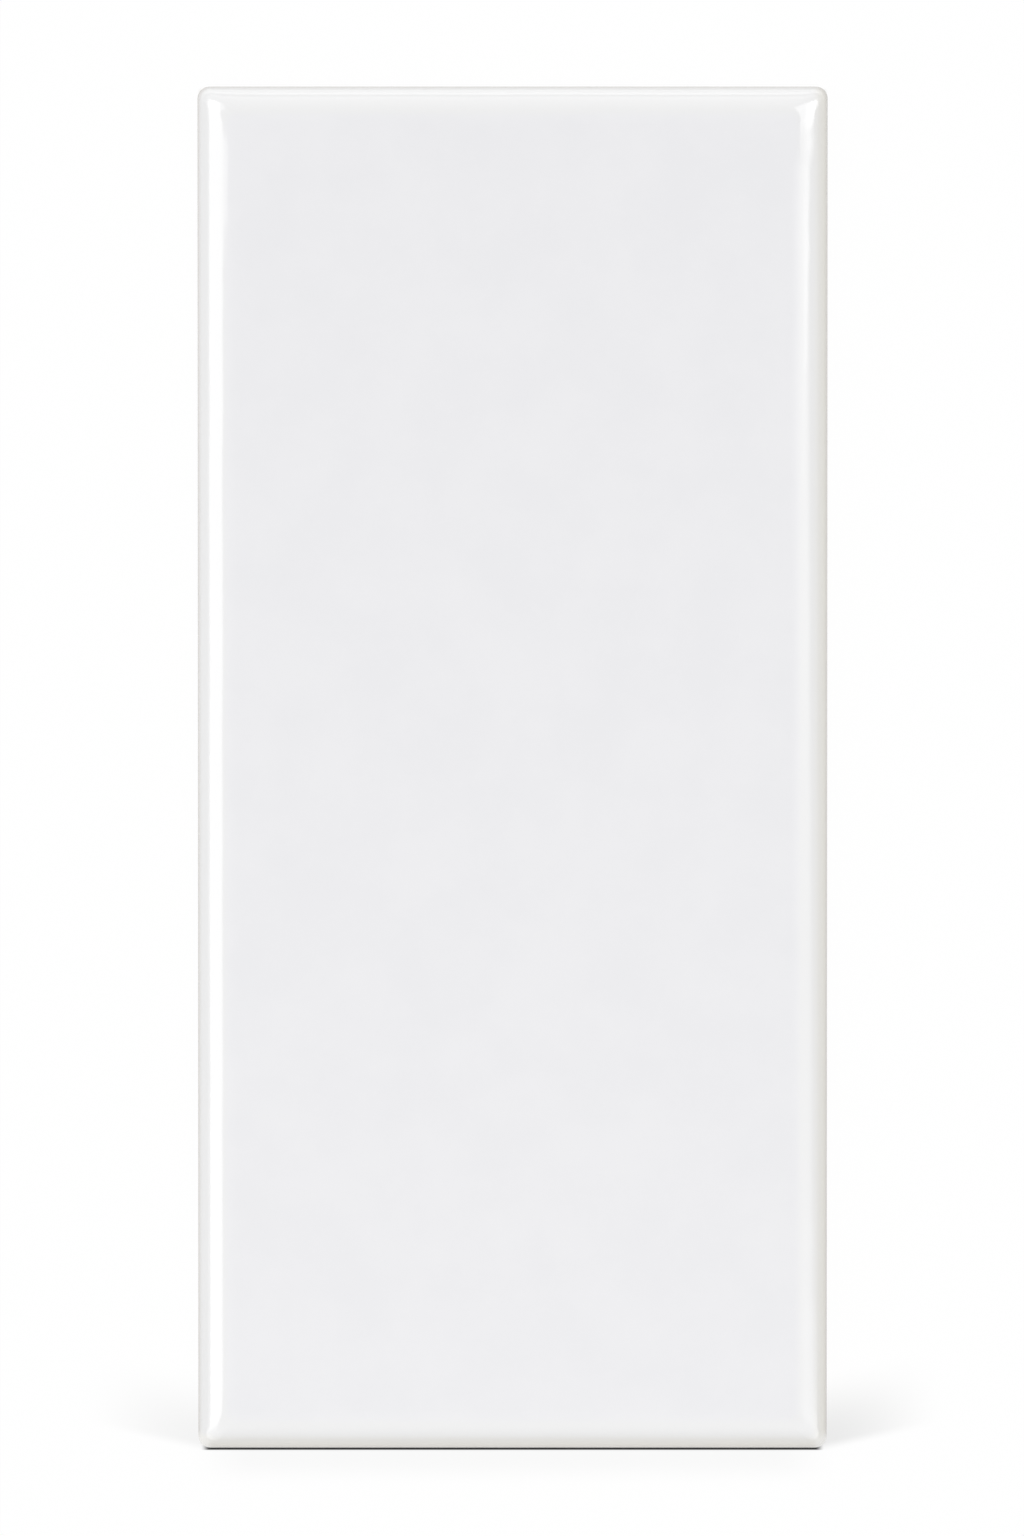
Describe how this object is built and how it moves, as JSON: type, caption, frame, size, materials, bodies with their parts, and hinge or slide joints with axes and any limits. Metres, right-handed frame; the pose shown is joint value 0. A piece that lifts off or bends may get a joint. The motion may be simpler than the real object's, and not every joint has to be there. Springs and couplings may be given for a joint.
{
  "type": "porcelain pool tile",
  "caption": "White glazed porcelain pool tile, an upright rectangle with a rolled edge all round its face and dovetail mortar keys along its back.",
  "frame": {"origin": "on the bedding plane of the tile's back, under the middle of the tile", "axes": "+Z out of the glazed face, +Y along the tile's length, which is up in the picture, +X across its width to the right"},
  "size_m": [0.111, 0.24, 0.009],
  "materials": {
    "glaze": "gloss"
  },
  "bodies": {
    "root": {"pool_tile": "glaze"}
  },
  "joints": []
}
